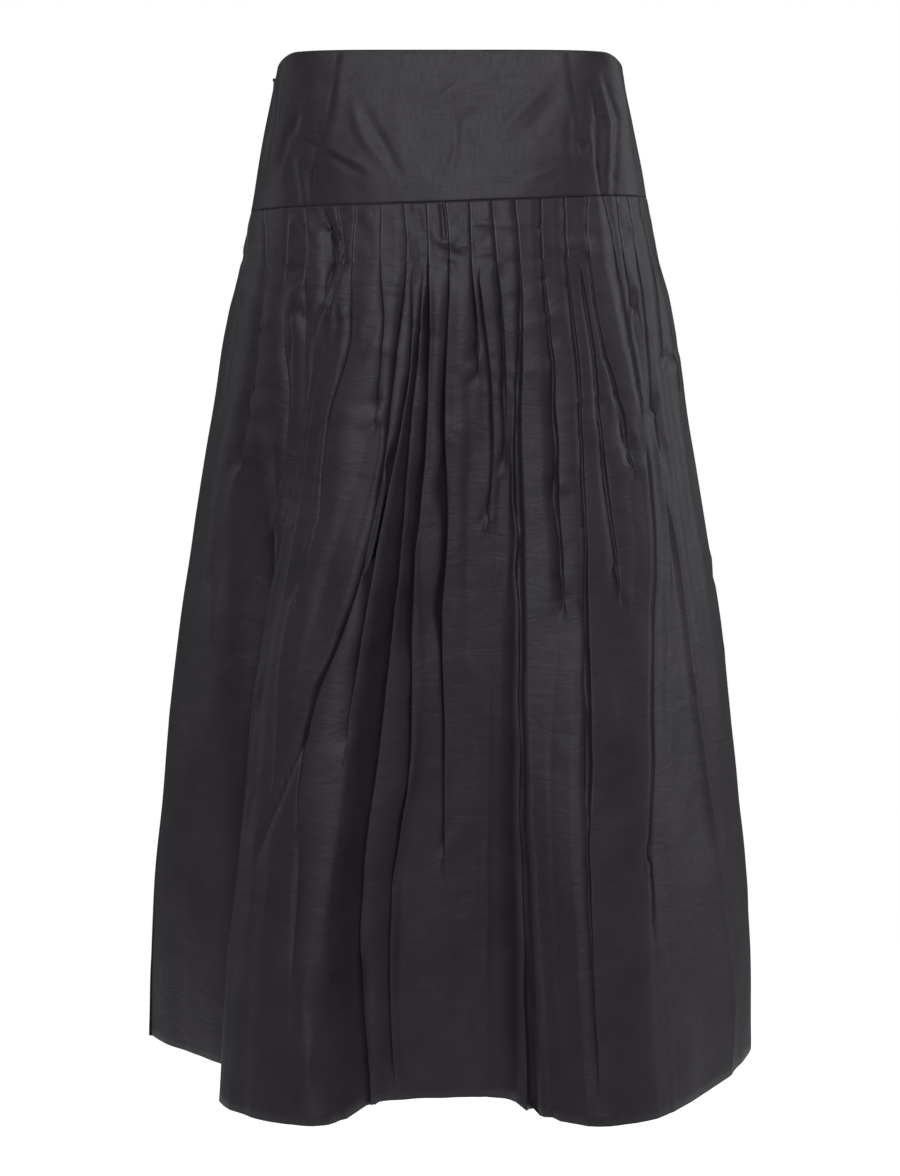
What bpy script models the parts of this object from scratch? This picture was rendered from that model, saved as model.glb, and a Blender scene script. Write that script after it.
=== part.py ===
"""A pleated maxi skirt, filled out as if worn: a smooth hip yoke, and two panels of knife pleats below it.

Metres, +Z up. X is across the skirt, the front faces -Y, and the origin is the centre of the waist opening.
A bearing is measured round the skirt from the centre front, growing towards +X: the front panels run from
-90 to 90 degrees and the back panels from 90 to 270. Every knife pleat has its folded edge on the side of
the lower bearing.
"""

import bmesh
import bpy
from math import atan, cos, pi, radians, sin
from mathutils import Matrix

# Cloth
WALL = 0.0016
SEAM_GAP = 0.0003
SEAM_ALLOWANCE = 0.010
SIDE_LENGTH = 0.90

# Sections of the skirt without its pleats: height below the waist, half-width, half-depth, squareness
SECTIONS = (
    # z, half_width, half_depth, squareness
    (0.000, 0.1540, 0.082, 3.2),
    (-0.020, 0.1584, 0.088, 3.0),
    (-0.092, 0.1743, 0.106, 2.6),
    (-0.136, 0.1825, 0.115, 2.4),
    (-0.240, 0.2035, 0.132, 2.3),
    (-0.332, 0.2195, 0.147, 2.25),
    (-0.429, 0.2365, 0.164, 2.2),
    (-0.533, 0.2540, 0.184, 2.2),
    (-0.679, 0.2690, 0.215, 2.2),
    (-0.786, 0.2790, 0.239, 2.2),
    (-0.900, 0.2830, 0.262, 2.2),
)

# Yoke seam: its height at the centre, the rise towards +X and the sag of the middle
SEAM_Z = -0.1305
SEAM_SLOPE = 0.036
SEAM_SAG = 0.005

# Pleats of a panel, in order round the skirt
PLEAT_STEP = 0.003
PLEAT_EDGE = 0.0022
KNEE_EDGE = 0.003
HEM_EDGE = 0.004
FRONT_PLEATS = (
    # seam: along the yoke seam from the panel's middle, mm; knee, hem: bearing there from the panel's middle,
    # degrees; inner, outer: how far the hem is from the skirt's axis just before and after the folded edge, mm
    (-222, -85.5, -84.0, 276, 277),
    (-206, -78.0, -77.0, 255, 256),
    (-178, -66.0, -69.0, 239, 240),
    (-148, -47.0, -44.4, 229, 283),
    (-132, -43.5, -38.0, 304, 305),
    (-115, -40.5, -33.0, 312, 313),
    (-100, -38.0, -28.5, 316, 317),
    (-82, -35.0, -24.0, 314, 315),
    (-60, -29.5, -20.5, 308, 309),
    (-40, -24.0, -18.2, 288, 292),
    (-20, -14.6, -15.8, 226, 246),
    (-4, -1.0, -4.5, 210, 211),
    (17, 8.3, 3.0, 207, 208),
    (36, 16.0, 10.0, 213, 214),
    (57, 21.8, 16.8, 232, 276),
    (80, 33.0, 20.5, 303, 304),
    (101, 38.5, 22.8, 313, 314),
    (123, 45.8, 26.2, 318, 319),
    (142, 51.7, 28.8, 320, 321),
    (157, 55.1, 31.4, 320, 321),
    (172, 59.5, 40.0, 306, 307),
    (194, 67.5, 52.0, 293, 294),
    (215, 79.0, 72.0, 284, 285),
)
BACK_PLEATS = (
    # seam, knee, hem, inner, outer, as above
    (-218, -84.0, -82.5, 281, 282),
    (-199, -76.5, -75.0, 290, 291),
    (-180, -69.0, -67.0, 300, 301),
    (-160, -61.0, -59.0, 302, 303),
    (-141, -54.0, -52.0, 292, 293),
    (-121, -46.5, -45.0, 263, 264),
    (-101, -39.0, -38.5, 232, 270),
    (-80, -33.0, -31.0, 290, 291),
    (-60, -26.5, -25.0, 298, 299),
    (-41, -20.0, -18.0, 292, 293),
    (-21, -12.8, -11.5, 262, 263),
    (0, -3.5, -4.0, 226, 264),
    (20, 6.0, 4.0, 288, 289),
    (41, 14.0, 11.0, 302, 303),
    (61, 22.0, 18.0, 302, 303),
    (82, 29.0, 25.5, 280, 281),
    (103, 36.5, 34.0, 240, 278),
    (123, 45.0, 43.0, 292, 293),
    (144, 53.5, 52.0, 304, 305),
    (166, 63.0, 62.0, 300, 301),
    (188, 72.5, 72.0, 290, 291),
    (212, 82.0, 82.0, 284, 285),
)

# Rows down a skirt panel, as shares of the length below the yoke seam
SKIRT_ROWS = (0.0, 0.036, 0.072, 0.12, 0.19, 0.27, 0.36, 0.46, 0.56, 0.66, 0.76, 0.86, 0.94, 1.0)
STITCHED = 0.072
KNEE = 0.41
FOLDS_START = 0.12
FOLDS_GROW = 1.1
PLEATS_END = 0.62

# Yoke: rows down it and columns round half the skirt; and the steps used to measure along the yoke seam
YOKE_ROWS = 6
YOKE_COLUMNS = 28
ARC_STEPS = 400

# Zip in the side seam at -X
TAPE_TOP = -0.004
TAPE_BOTTOM = -0.190
TAPE_WIDTH = 0.024
TAPE_THICK = 0.0010
TAPE_GAP = 0.0008
TAPE_ROWS = 12
TAPE_COLUMNS = 6
ZIP_Z = -0.0150
SLIDER_WIDTH = 0.0052
SLIDER_LENGTH = 0.0088
SLIDER_THICK = 0.0017
SLIDER_EDGE = 0.0005
BAR_OUT = 0.0037
BAR_RADIUS = 0.00045
BAR_SIDES = 20
EAR_THICK = 0.0008
EAR_GAP = 0.0032
EAR_OUT = 0.0009
EAR_HALF = 0.0012
EAR_SUNK = 0.0004
LEAN_STEP = 0.01
PULL_EYE = 0.0008
PULL_CURL = 0.0015
PULL_SIDES = 24
PULL_LENGTH = 0.0180
PULL_TOP = 0.0024
PULL_BOTTOM = 0.0054
PULL_THICK = 0.0009
PULL_HOLE = 0.0013
PULL_START = 0.0011
PULL_WELD = 0.00001
ARC_DEGREES = 20
HOLE_SIDES = 16
PULL_LEAN = radians(8.2)


def clear_scene():
    for obj in list(bpy.data.objects):
        bpy.data.objects.remove(obj)


def mix(a, b, share):
    return a + (b - a) * share


def ease(share):
    share = min(max(share, 0.0), 1.0)
    return share * share * (3 - 2 * share)


def section(z):
    """Half-width, half-depth and squareness at a height."""
    rows = zip(SECTIONS, SECTIONS[1:])
    for upper, lower in rows:
        if z >= lower[0]:
            break
    share = min(max((z - upper[0]) / (lower[0] - upper[0]), 0.0), 1.0)
    return tuple(mix(a, b, share) for a, b in zip(upper[1:], lower[1:]))


def radius(bearing, z):
    """How far the plain surface is from the skirt's axis."""
    half_width, half_depth, squareness = section(z)
    across = abs(sin(bearing)) / half_width
    along = abs(cos(bearing)) / half_depth
    return (across**squareness + along**squareness) ** (-1 / squareness)


def around(bearing, z, out=0.0):
    """The point of the plain surface at a bearing and height, moved outwards."""
    reach = radius(bearing, z) + out
    return (reach * sin(bearing), -reach * cos(bearing), z)


def seam_height(bearing):
    half_width = section(SEAM_Z)[0]
    x = radius(bearing, SEAM_Z) * sin(bearing)
    return SEAM_Z + SEAM_SLOPE * x - SEAM_SAG * (1 - (x / half_width) ** 2)


def bearing_along(length, z, middle):
    """The bearing reached by going a length round the section from the middle of a panel."""
    bearing = middle
    for _ in range(ARC_STEPS):
        bearing += length / ARC_STEPS / radius(bearing, z)
    return bearing


def side_angle(gap, z, side):
    """How far a panel's edge stays from the side seam, as an angle."""
    return side * (pi / 2 - gap / 2 / radius(pi / 2, z))


def side_column(middle, gap, side):
    """A column of a skirt panel beside the side seam, on the plain surface."""
    at_seam = middle + side_angle(gap, SEAM_Z, side)
    at_hem = middle + side_angle(gap, -SIDE_LENGTH, side)
    return (at_seam, mix(at_seam, at_hem, KNEE), at_hem, 0.0, radius(at_hem, -SIDE_LENGTH))


def panel_columns(middle, pleats):
    """The columns of a skirt panel, as (seam bearing, knee bearing, hem bearing, pleat step, hem radius)."""
    edge_angle = PLEAT_EDGE / radius(middle, SEAM_Z)
    knee_angle = KNEE_EDGE / radius(middle, mix(SEAM_Z, -SIDE_LENGTH, KNEE))
    hem_angle = HEM_EDGE / radius(middle, -SIDE_LENGTH)
    last = side_column(middle, SEAM_ALLOWANCE, -1)
    columns = [side_column(middle, SEAM_GAP, -1), last]
    for seam, knee, hem, inner, outer in pleats:
        at_seam = bearing_along(seam / 1000, SEAM_Z, middle)
        at_knee = middle + radians(knee)
        at_hem = middle + radians(hem)
        foot = (at_seam - edge_angle, at_knee - knee_angle, at_hem - hem_angle, 0.0, inner / 1000)
        halfway = tuple(mix(a, b, 0.5) for a, b in zip(last, foot))
        columns.append(halfway)
        columns.append(foot)
        last = (at_seam, at_knee, at_hem, PLEAT_STEP, outer / 1000)
        columns.append(last)
    columns.append(side_column(middle, SEAM_ALLOWANCE, 1))
    columns.append(side_column(middle, SEAM_GAP, 1))
    return columns


def skirt_point(column, share):
    """A point of a pleated panel, a share of the way from the yoke seam to the hem."""
    seam_bearing, knee_bearing, hem_bearing, step, hem_radius = column
    above = (knee_bearing - seam_bearing) / KNEE
    below = (hem_bearing - knee_bearing) / (1 - KNEE)
    bearing = seam_bearing + above * share + (below - above) * share * (share - KNEE)
    top = seam_height(bearing) - SEAM_GAP / 2
    z = mix(top, -SIDE_LENGTH, share)
    folds = max((share - FOLDS_START) / (1 - FOLDS_START), 0.0) ** FOLDS_GROW
    swing = folds * (hem_radius - radius(hem_bearing, -SIDE_LENGTH))
    pleat = step * (1 - ease((share - STITCHED) / (PLEATS_END - STITCHED)))
    return around(bearing, z, swing + pleat)


def yoke_point(middle, across, down):
    """A point of a yoke: across it from side to side and down it, each from 0 to 1."""
    z = 0.0
    for _ in range(2):
        bearing = middle + mix(side_angle(SEAM_GAP, z, -1), side_angle(SEAM_GAP, z, 1), across)
        z = mix(0.0, seam_height(bearing) + SEAM_GAP / 2, down)
    return around(bearing, z)


def surface(name, points):
    """A sheet through a grid of points, rows of columns, facing outwards."""
    shape = bmesh.new()
    bmesh.ops.create_grid(shape, x_segments=len(points[0]) - 1, y_segments=len(points) - 1, size=0.5)
    shape.verts.ensure_lookup_table()
    in_rows = sorted(shape.verts, key=lambda vert: (round(-vert.co.y, 4), vert.co.x))
    flat = [point for row in points for point in row]
    for vert, point in zip(in_rows, flat):
        vert.co = point
    mesh = bpy.data.meshes.new(name)
    shape.to_mesh(mesh)
    shape.free()
    return bpy.data.objects.new(name, mesh)


def wall(sheet, thickness=WALL):
    """Gives a sheet its thickness, inwards."""
    solid = sheet.modifiers.new("wall", "SOLIDIFY")
    solid.thickness = thickness
    solid.offset = -1
    return sheet


def skirt_panel(name, middle, pleats):
    columns = panel_columns(middle, pleats)
    points = [[skirt_point(column, share) for column in columns] for share in SKIRT_ROWS]
    return wall(surface(name, points))


def yoke_panel(name, middle):
    points = []
    for row in range(YOKE_ROWS + 1):
        down = row / YOKE_ROWS
        points.append([yoke_point(middle, column / YOKE_COLUMNS, down) for column in range(YOKE_COLUMNS + 1)])
    return wall(surface(name, points))


def zip_tape():
    """Both tapes of the closed zip, as one strip against the inside of the side seam."""
    points = []
    for row in range(TAPE_ROWS + 1):
        z = mix(TAPE_TOP, TAPE_BOTTOM, row / TAPE_ROWS)
        half = TAPE_WIDTH / 2 / radius(pi / 2, z)
        bearings = [-pi / 2 + mix(-half, half, column / TAPE_COLUMNS) for column in range(TAPE_COLUMNS + 1)]
        points.append([around(bearing, z, -WALL - TAPE_GAP) for bearing in bearings])
    return wall(surface("zip_tape", points), TAPE_THICK)


def finish_mesh(name, shape):
    mesh = bpy.data.meshes.new(name)
    shape.to_mesh(mesh)
    shape.free()
    return bpy.data.objects.new(name, mesh)


def block(name, low, high):
    shape = bmesh.new()
    size = [b - a for a, b in zip(low, high)]
    centre = [(a + b) / 2 for a, b in zip(low, high)]
    scale = Matrix.Diagonal((*size, 1))
    bmesh.ops.create_cube(shape, size=1, matrix=Matrix.Translation(centre) @ scale)
    return finish_mesh(name, shape)


def rod(name, out, up, radius_m, length, segments):
    """A cylinder along Y."""
    shape = bmesh.new()
    turn = Matrix.Rotation(pi / 2, 4, "X")
    place = Matrix.Translation((out, 0, up)) @ turn
    bmesh.ops.create_cone(
        shape, cap_ends=True, segments=segments, radius1=radius_m, radius2=radius_m, depth=length, matrix=place
    )
    return finish_mesh(name, shape)


def combine(obj, other, operation):
    """Applies a Boolean on the object and hides the helper."""
    cut = obj.modifiers.new(other.name, "BOOLEAN")
    cut.operation = operation
    cut.solver = "EXACT"
    cut.object = other
    other.hide_render = True
    other.hide_set(True)
    return other


def zip_frame():
    """An empty on the pull tab's pivot: its -X is away from the cloth and its Z runs up the side seam."""
    upper = -around(-pi / 2, ZIP_Z + LEAN_STEP)[0]
    lower = -around(-pi / 2, ZIP_Z - LEAN_STEP)[0]
    lean = atan((lower - upper) / (2 * LEAN_STEP))
    empty = bpy.data.objects.new("zip_pivot", None)
    outer = around(-pi / 2, ZIP_Z)[0]
    empty.location = (outer - BAR_OUT * cos(lean), 0, ZIP_Z + BAR_OUT * sin(lean))
    empty.rotation_euler = (0, lean, 0)
    return empty


def zip_slider(collection, pivot):
    """The slider's body on the seam, with two ears that carry the bar of the pull tab."""
    half_width = SLIDER_WIDTH / 2
    half_length = SLIDER_LENGTH / 2
    inner = BAR_OUT - SEAM_GAP
    outer = inner - SLIDER_THICK
    slider = block("zip_slider", (outer, -half_width, -half_length), (inner, half_width, half_length))
    edges = slider.modifiers.new("edges", "BEVEL")
    edges.width = SLIDER_EDGE
    edges.segments = 2
    helpers = []
    for side in (-1, 1):
        near = side * EAR_GAP / 2
        far = side * (EAR_GAP / 2 + EAR_THICK)
        low = (-EAR_OUT, min(near, far), -EAR_HALF)
        high = (outer + EAR_SUNK, max(near, far), EAR_HALF)
        helpers.append(block("ear" + str(side), low, high))
    helpers.append(rod("bar", 0, 0, BAR_RADIUS, EAR_GAP + EAR_THICK, BAR_SIDES))
    for helper in helpers:
        collection.objects.link(helper)
        helper.parent = pivot
    collection.objects.link(slider)
    slider.parent = pivot
    for helper in helpers:
        combine(slider, helper, "UNION")
    return slider


def zip_pull(collection, pivot):
    """The flat pull tab: its top is curled round the bar, and its lower end is wider and has a hole."""
    outline = bpy.data.curves.new("pull_outline", "CURVE")
    outline.dimensions = "2D"
    outline.fill_mode = "BOTH"
    outline.extrude = PULL_THICK / 2
    outline.resolution_u = 1
    spline = outline.splines.new("POLY")
    end = PULL_BOTTOM / 2
    arc = [(end * cos(radians(a)), -PULL_LENGTH + end + end * sin(radians(a))) for a in range(0, -181, -ARC_DEGREES)]
    corners = [(PULL_TOP / 2, -PULL_START), *arc, (-PULL_TOP / 2, -PULL_START)]
    spline.points.add(len(corners) - 1)
    for point, (across, up) in zip(spline.points, corners):
        point.co = (across, up, 0, 1)
    spline.use_cyclic_u = True
    hole = outline.splines.new("POLY")
    hole.points.add(HOLE_SIDES - 1)
    for step, point in enumerate(hole.points):
        angle = 2 * pi * step / HOLE_SIDES
        point.co = (PULL_HOLE * cos(angle), -PULL_LENGTH + end + PULL_HOLE * sin(angle), 0, 1)
    hole.use_cyclic_u = True
    flat = bpy.data.objects.new("pull_plate", outline)
    collection.objects.link(flat)
    plate_mesh = bpy.data.meshes.new_from_object(flat)
    bpy.data.objects.remove(flat)
    stand = Matrix.Rotation(pi / 2, 4, "Z") @ Matrix.Rotation(pi / 2, 4, "X")
    plate_mesh.transform(Matrix.Rotation(-PULL_LEAN, 4, "Y") @ stand)
    pull = bpy.data.objects.new("zip_pull", plate_mesh)
    weld = pull.modifiers.new("weld", "WELD")
    weld.merge_threshold = PULL_WELD
    curl = rod("curl", 0, 0, PULL_CURL, PULL_TOP, PULL_SIDES)
    eye = rod("eye", 0, 0, PULL_EYE, PULL_TOP * 2, PULL_SIDES)
    for helper in (curl, eye):
        collection.objects.link(helper)
        helper.parent = pivot
    collection.objects.link(pull)
    pull.parent = pivot
    combine(pull, curl, "UNION")
    combine(pull, eye, "DIFFERENCE")
    return pull


def paint(obj, colour, rough, metal=0.0):
    """Gives an object its own material."""
    material = bpy.data.materials.new(obj.name)
    material.use_nodes = True
    shader = material.node_tree.nodes["Principled BSDF"]
    shader.inputs["Base Color"].default_value = (*colour, 1)
    shader.inputs["Roughness"].default_value = rough
    shader.inputs["Metallic"].default_value = metal
    material.diffuse_color = (*colour, 1)
    obj.data.materials.clear()
    obj.data.materials.append(material)


def build():
    clear_scene()
    collection = bpy.data.collections.new("pleated_maxi_skirt")
    bpy.context.scene.collection.children.link(collection)
    charcoal = (0.045, 0.045, 0.05)
    black = (0.012, 0.012, 0.014)
    metal = (0.02, 0.02, 0.022)
    cloth = [
        yoke_panel("yoke_front", 0.0),
        yoke_panel("yoke_back", pi),
        skirt_panel("skirt_front", 0.0, FRONT_PLEATS),
        skirt_panel("skirt_back", pi, BACK_PLEATS),
    ]
    for piece in cloth:
        collection.objects.link(piece)
        paint(piece, charcoal, 0.5)
    tape = zip_tape()
    collection.objects.link(tape)
    paint(tape, black, 0.8)
    pivot = zip_frame()
    collection.objects.link(pivot)
    paint(zip_slider(collection, pivot), metal, 0.3, 0.8)
    paint(zip_pull(collection, pivot), metal, 0.3, 0.8)


build()
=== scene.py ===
import math

import bmesh
import bpy
import numpy as np
from mathutils import Matrix, Vector


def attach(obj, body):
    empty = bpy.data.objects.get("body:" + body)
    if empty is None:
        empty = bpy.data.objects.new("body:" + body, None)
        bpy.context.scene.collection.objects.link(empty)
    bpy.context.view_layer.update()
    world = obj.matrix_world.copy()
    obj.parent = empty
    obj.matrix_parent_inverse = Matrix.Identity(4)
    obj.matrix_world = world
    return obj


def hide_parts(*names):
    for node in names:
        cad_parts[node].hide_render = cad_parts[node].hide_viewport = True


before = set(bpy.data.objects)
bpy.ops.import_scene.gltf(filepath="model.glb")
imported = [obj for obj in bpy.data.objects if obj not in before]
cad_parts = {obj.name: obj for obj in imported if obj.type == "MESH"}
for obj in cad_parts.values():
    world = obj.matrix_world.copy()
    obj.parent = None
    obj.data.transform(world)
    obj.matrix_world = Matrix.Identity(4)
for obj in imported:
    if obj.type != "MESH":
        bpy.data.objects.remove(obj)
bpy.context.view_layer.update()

# ---------------------------------------------------------------------------------------------
# Front and back yokes: two shaped pieces of charcoal taffeta that lie smooth over the hips. Each has
# two darts sewn down from the waist edge. Their side edges are turned in and sewn at the side seams.

# Metres, apart from the seam's rise, which is metres for each metre across
WAIST_TO_HEM = 0.90
WAIST_EDGE = -0.0006
WAIST_DIP = 0.0085
WAIST_DIP_FROM = 0.136
YOKE_SEAM_Z = -0.1305
YOKE_SEAM_RISE = 0.036
YOKE_SEAM_SAG = 0.005
SEAM_GAP = 0.00002
SEAM_ROLL = 0.0003
TAFFETA_THICK = 0.0009
RIGHT_ANGLE = math.pi / 2
YOKE_COLUMNS = 210
YOKE_ROWS = 84

# The skirt's form without its pleats
SECTIONS = np.array((
    # height, half-width, half-depth (m), squareness
    (0.000, 0.1540, 0.082, 5.0),
    (-0.020, 0.1584, 0.088, 4.0),
    (-0.092, 0.1743, 0.106, 2.8),
    (-0.136, 0.1825, 0.115, 2.45),
    (-0.240, 0.2035, 0.132, 2.3),
    (-0.332, 0.2195, 0.147, 2.25),
    (-0.429, 0.2365, 0.164, 2.2),
    (-0.533, 0.2540, 0.184, 2.2),
    (-0.679, 0.2690, 0.215, 2.2),
    (-0.786, 0.2790, 0.239, 2.2),
    (-0.900, 0.2830, 0.262, 2.2),
))

# How the cloth turns in at an edge, mm: along the cloth from the edge, and out from the plain form
SIDE_TURN = ((9.0, -2.2), (2.0, -2.2), (0.4, -1.9), (0.0, -0.9), (0.4, -0.2), (1.3, 0.0))
# and at the waist, the yoke seam and the hem: inwards, mm; rows back from the edge; up from that row, mm
WAIST_TURN = ((2.2, 5, 0.0), (2.2, 1, 0.0), (1.7, 0, 0.2), (0.7, 0, 0.5))
SEAM_TURN = ((2.6, 0, 0.2), (1.0, 0, 0.0), (0.25, 0, 0.0))
# A turning that lies further in than BEHIND_FROM, mm, runs smoothly behind the folds: its points are evened
# out over TURN_REACH columns to each side, and fully so BEHIND_OVER further in
BEHIND_FROM = 0.9
BEHIND_OVER = 1.5
TURN_REACH = 5

# Over these shares of the half-width and of the way down, the cloth lies plain towards its sides and its top
YOKE_PLAIN_SIDE = 0.02
YOKE_PLAIN_TOP = 0.03
# The share of the way down over which the cloth rolls in to the yoke seam
YOKE_ROLL_OVER = 0.010
# Uneven swells of the cloth: mean height and length, metres
YOKE_SMALL_SWELLS = (0.00016, 0.034)
YOKE_LARGE_SWELLS = (0.00045, 0.11)

# How much of their tables' heights the listed and the small scattered creases get
YOKE_CREASES = 1.4
YOKE_SCATTERED = 0.4
# How many small creases lie between two heights, mm
YOKE_SMALL_CREASES = (18, -125, -20)
# Their least and greatest half-length, height and width, and how far to the sides they go at the waist and
# at the hem, mm
SMALL_LENGTHS = (8, 30)
SMALL_HEIGHTS = (0.6, 1.7)
SMALL_WIDTHS = (1.6, 3.4)
SMALL_SPREAD = (150, 265)

YOKE_FRONT_CREASES = (
    # x and z at the start, the middle and the end, mm; width and height, mm (a trough is below 0);
    # and 1 if it is sharp
    (-95, 25, -104, -46, -112, -86, 0.8, -1.1, 1),
    (101, 25, 108, -44, 116, -86, 0.8, -1.1, 1),
    (-90, 25, -98, -46, -106, -84, 5.0, 0.7, 0),
    (96, 25, 103, -44, 111, -80, 5.0, 0.6, 0),
    (-112, -84, -90, -96, -69, -107, 2.2, 1.0, 1),
    (-109, -92, -92, -103, -74, -113, 3.0, -0.7, 0),
    (-86, -41, -79, -74, -54, -106, 4.5, 0.9, 0),
    (-77, -50, -61, -81, -41, -117, 5.0, -1.0, 0),
    (88, -27, 66, -50, 40, -78, 5.0, 0.9, 0),
    (95, -40, 78, -62, 52, -92, 7.0, -0.9, 0),
    (27, -55, 9, -68, -1, -104, 6.0, 0.6, 0),
    (6, -62, 5, -85, 0, -112, 4.5, -1.1, 0),
    (-62, -18, 0, -34, 62, -18, 26.0, -1.6, 0),
    (-132, -52, -137, -65, -140, -80, 3.0, -1.2, 0),
    (-130, -79, -116, -86, -120, -101, 2.2, -1.9, 1),
    (-120, -95, -123, -119, -120, -140, 2.4, -2.0, 1),
    (-143, -88, -139, -112, -133, -142, 5.0, -1.8, 0),
    (-133, -92, -130, -114, -127, -140, 2.5, 1.0, 0),
    (-136, -58, -145, -77, -152, -108, 3.0, -1.2, 0),
    (-112, -31, -128, -48, -132, -70, 5.0, 0.9, 0),
    (-148, -4, -151, -44, -161, -112, 2.2, 1.2, 1),
    (-154, -8, -157, -60, -172, -125, 2.6, -1.3, 0),
    (-114, -60, -116, -75, -109, -90, 1.5, -0.8, 1),
    (124, -28, 133, -70, 135, -140, 2.6, -2.4, 1),
    (129, -20, 141, -62, 139, -134, 3.5, 1.3, 0),
    (135, -22, 150, -59, 145, -136, 2.6, -2.2, 1),
    (127, -61, 130, -88, 136, -128, 2.4, -1.6, 0),
    (106, -44, 104, -85, 107, -104, 3.0, -0.9, 0),
    (111, -78, 118, -90, 122, -78, 3.0, -1.3, 0),
    (150, -12, 158, -48, 170, -118, 2.0, 1.2, 1),
    (157, -22, 163, -65, 172, -120, 2.6, -1.2, 0),
)
YOKE_BACK_CREASES = (
    # the same columns; x as in the front's table
    (-97, 25, -103, -44, -108, -92, 0.8, -1.1, 1),
    (97, 25, 103, -44, 108, -94, 0.8, -1.1, 1),
    (-92, 25, -98, -44, -103, -90, 5.0, 0.7, 0),
    (92, 25, 98, -44, 103, -90, 5.0, 0.7, 0),
    (-108, -90, -90, -101, -66, -112, 2.4, 1.0, 1),
    (108, -92, 90, -100, 70, -106, 2.4, 0.9, 1),
    (-80, -30, -62, -66, -34, -98, 6.0, 0.9, 0),
    (-68, -24, -50, -60, -24, -92, 6.5, -0.9, 0),
    (84, -36, 60, -68, 30, -90, 6.0, 0.9, 0),
    (74, -30, 50, -58, 22, -80, 6.5, -1.0, 0),
    (-4, -60, 2, -86, 0, -116, 6.0, -1.0, 0),
    (-128, -46, -134, -84, -130, -136, 3.0, -1.8, 0),
    (-138, -36, -146, -80, -142, -132, 3.0, 1.2, 0),
    (-145, -50, -153, -90, -158, -124, 2.6, -1.5, 0),
    (126, -52, 134, -90, 128, -132, 3.0, -1.8, 0),
    (140, -30, 148, -76, 144, -128, 3.0, 1.2, 0),
    (146, -44, 156, -86, 160, -122, 2.6, -1.4, 0),
    (-114, -70, -120, -88, -112, -100, 2.2, -1.0, 1),
)


def mix(a, b, share):
    return a + (b - a) * share


def ease(share):
    share = np.clip(share, 0, 1)
    return share * share * (3 - 2 * share)


def through(stations, values, wanted):
    """A smooth curve through some values, that never overshoots them."""
    stations = np.asarray(stations, float)
    values = np.asarray(values, float)
    steps = np.diff(stations)
    slopes = np.diff(values) / steps
    turning = slopes[:-1] * slopes[1:]
    tangents = np.concatenate((slopes[:1], slopes))
    even = np.where(turning > 0, slopes[:-1] + slopes[1:], 1)
    tangents[1:-1] = np.where(turning > 0, 2 * turning / even, 0)
    wanted = np.clip(wanted, stations[0], stations[-1])
    low = np.clip(np.searchsorted(stations, wanted, side="right") - 1, 0, len(steps) - 1)
    share = (wanted - stations[low]) / steps[low]
    from_low = values[low] + share * steps[low] * tangents[low]
    from_high = values[low + 1] - (1 - share) * steps[low] * tangents[low + 1]
    return mix(from_low, from_high, ease(share))


def plain_radius(bearing, z):
    """How far the plain form is from its axis. A bearing grows from the centre front towards +X."""
    half_width = through(-SECTIONS[:, 0], SECTIONS[:, 1], -z)
    half_depth = through(-SECTIONS[:, 0], SECTIONS[:, 2], -z)
    squareness = through(-SECTIONS[:, 0], SECTIONS[:, 3], -z)
    across = np.abs(np.sin(bearing)) / half_width
    along = np.abs(np.cos(bearing)) / half_depth
    return (across**squareness + along**squareness) ** (-1 / squareness)


def seam_height(bearing):
    """The yoke seam rises towards +X and sags a little in the middle."""
    half_width = plain_radius(RIGHT_ANGLE, YOKE_SEAM_Z)
    x = plain_radius(bearing, YOKE_SEAM_Z) * np.sin(bearing)
    return YOKE_SEAM_Z + YOKE_SEAM_RISE * x - YOKE_SEAM_SAG * (1 - (x / half_width) ** 2)


def crease_heights(x, z, creases):
    """How far the creases of a table push the cloth out, in metres."""
    push = np.zeros_like(x)
    for x1, z1, x2, z2, x3, z3, width, height, sharp in creases:
        nearest = np.full_like(x, 1e9)
        along = np.zeros_like(x)
        for xa, za, xb, zb, begin in ((x1, z1, x2, z2, 0.0), (x2, z2, x3, z3, 0.5)):
            length = (xb - xa) ** 2 + (zb - za) ** 2
            share = np.clip(((x - xa) * (xb - xa) + (z - za) * (zb - za)) / length, 0, 1)
            far = np.hypot(x - mix(xa, xb, share), z - mix(za, zb, share))
            along = np.where(far < nearest, begin + share / 2, along)
            nearest = np.minimum(far, nearest)
        taper = np.sin(np.pi * np.clip(along, 0.02, 0.98)) ** 0.6
        soft = np.exp(-((nearest / width) ** 2))
        crisp = np.exp(-nearest / width)
        push += height * taper * (crisp if sharp else soft)
    return push / 1000


def swells(x, z, size, seed):
    """Small uneven swells, mostly up and down the cloth. Their size is a mean height and a length."""
    height, length = size
    draw = np.random.default_rng(seed)
    waves = 16
    total = np.zeros_like(x)
    for _ in range(waves):
        angle = draw.uniform(-1.0, 1.0)
        pace = 2 * np.pi / (length * draw.uniform(0.6, 1.8))
        start = draw.uniform(0, 2 * np.pi)
        total += np.sin(pace * (x * np.cos(angle) + 0.6 * z * np.sin(angle)) + start)
    return height * total / math.sqrt(waves / 2)


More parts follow.
